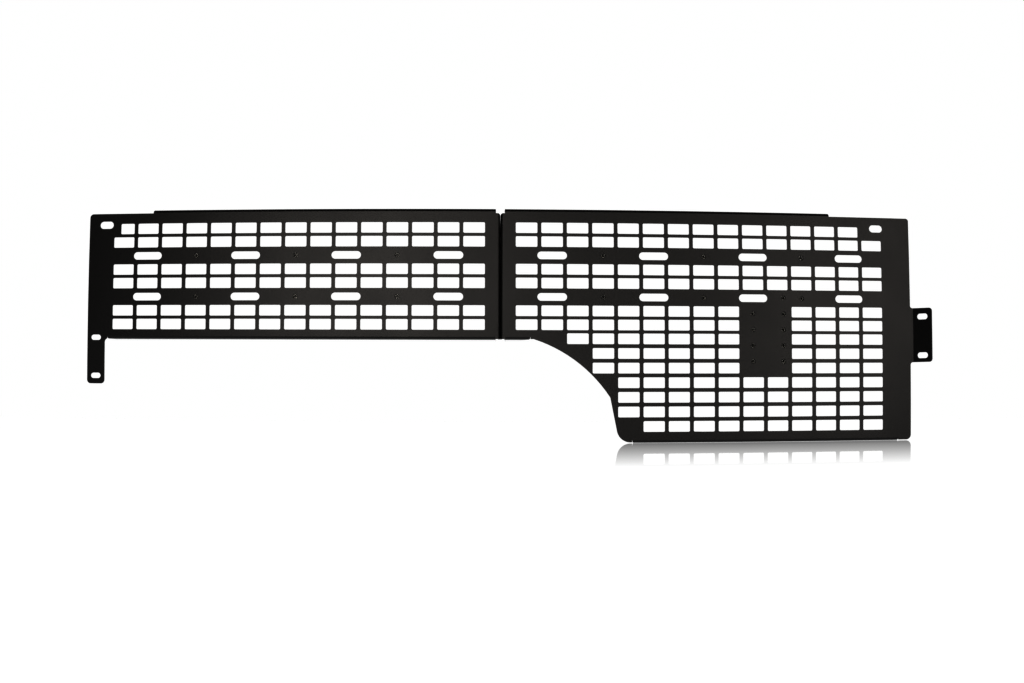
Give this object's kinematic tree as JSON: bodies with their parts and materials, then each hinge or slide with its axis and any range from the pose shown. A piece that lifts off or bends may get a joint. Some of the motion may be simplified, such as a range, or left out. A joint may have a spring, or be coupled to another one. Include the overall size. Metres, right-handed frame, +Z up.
{
  "type": "truck bed side rack panel",
  "caption": "Two flanged sheet-steel grid panels bolted end to end, cut away over the wheel housing, with end slots and a bent tab for fastening to a truck bed side.",
  "frame": {"origin": "midway between the two upper mounting slots, on the sheet's rear face", "axes": "+X along the rack from the leg's end to the tab's end, +Y to the rear, into the bed side, +Z up"},
  "size_m": [1.5097, 0.0495, 0.406],
  "materials": {
    "black_powder_coat": "satin black powder coat with a fine texture",
    "clinch_nut_coat": "satin black powder coat, over nuts pressed in before coating",
    "clinch_nut_thread": "bare zinc-plated thread, masked from the coat",
    "lock_nut_nylon": "moulded nylon locking ring",
    "bolt_zinc": "clear zinc plating",
    "washer_zinc": "clear zinc plating",
    "lock_nut_zinc": "clear zinc plating"
  },
  "bodies": {
    "root": {"carrier_plate_clinch_nut_1": "clinch_nut_coat", "carrier_plate_clinch_nut_2": "clinch_nut_coat", "carrier_plate_clinch_nut_3": "clinch_nut_coat", "carrier_plate_clinch_nut_4": "clinch_nut_coat", "carrier_plate_clinch_nut_5": "clinch_nut_coat", "carrier_plate_clinch_nut_6": "clinch_nut_coat", "carrier_plate_clinch_nut_7": "clinch_nut_coat", "carrier_plate_clinch_nut_8": "clinch_nut_coat", "carrier_plate_clinch_nut_9": "clinch_nut_coat", "joint_bolt_1": "bolt_zinc", "joint_bolt_2": "bolt_zinc", "joint_bolt_3": "bolt_zinc", "joint_lock_nut_1": "lock_nut_zinc", "joint_lock_nut_2": "lock_nut_zinc", "joint_lock_nut_3": "lock_nut_zinc", "joint_nut_nylon_ring_1": "lock_nut_nylon", "joint_nut_nylon_ring_2": "lock_nut_nylon", "joint_nut_nylon_ring_3": "lock_nut_nylon", "joint_washer_left_1": "washer_zinc", "joint_washer_left_2": "washer_zinc", "joint_washer_left_3": "washer_zinc", "joint_washer_right_1": "washer_zinc", "joint_washer_right_2": "washer_zinc", "joint_washer_right_3": "washer_zinc", "left_panel": "black_powder_coat", "left_panel_lower_clinch_nut_1": "clinch_nut_coat", "left_panel_lower_clinch_nut_2": "clinch_nut_coat", "left_panel_lower_clinch_nut_3": "clinch_nut_coat", "left_panel_upper_clinch_nut_1": "clinch_nut_coat", "left_panel_upper_clinch_nut_2": "clinch_nut_coat", "left_panel_upper_clinch_nut_3": "clinch_nut_coat", "right_panel": "black_powder_coat", "right_panel_lower_clinch_nut_1": "clinch_nut_coat", "right_panel_lower_clinch_nut_2": "clinch_nut_coat", "right_panel_lower_clinch_nut_3": "clinch_nut_coat", "right_panel_upper_clinch_nut_1": "clinch_nut_coat", "right_panel_upper_clinch_nut_2": "clinch_nut_coat", "right_panel_upper_clinch_nut_3": "clinch_nut_coat"}
  },
  "joints": []
}
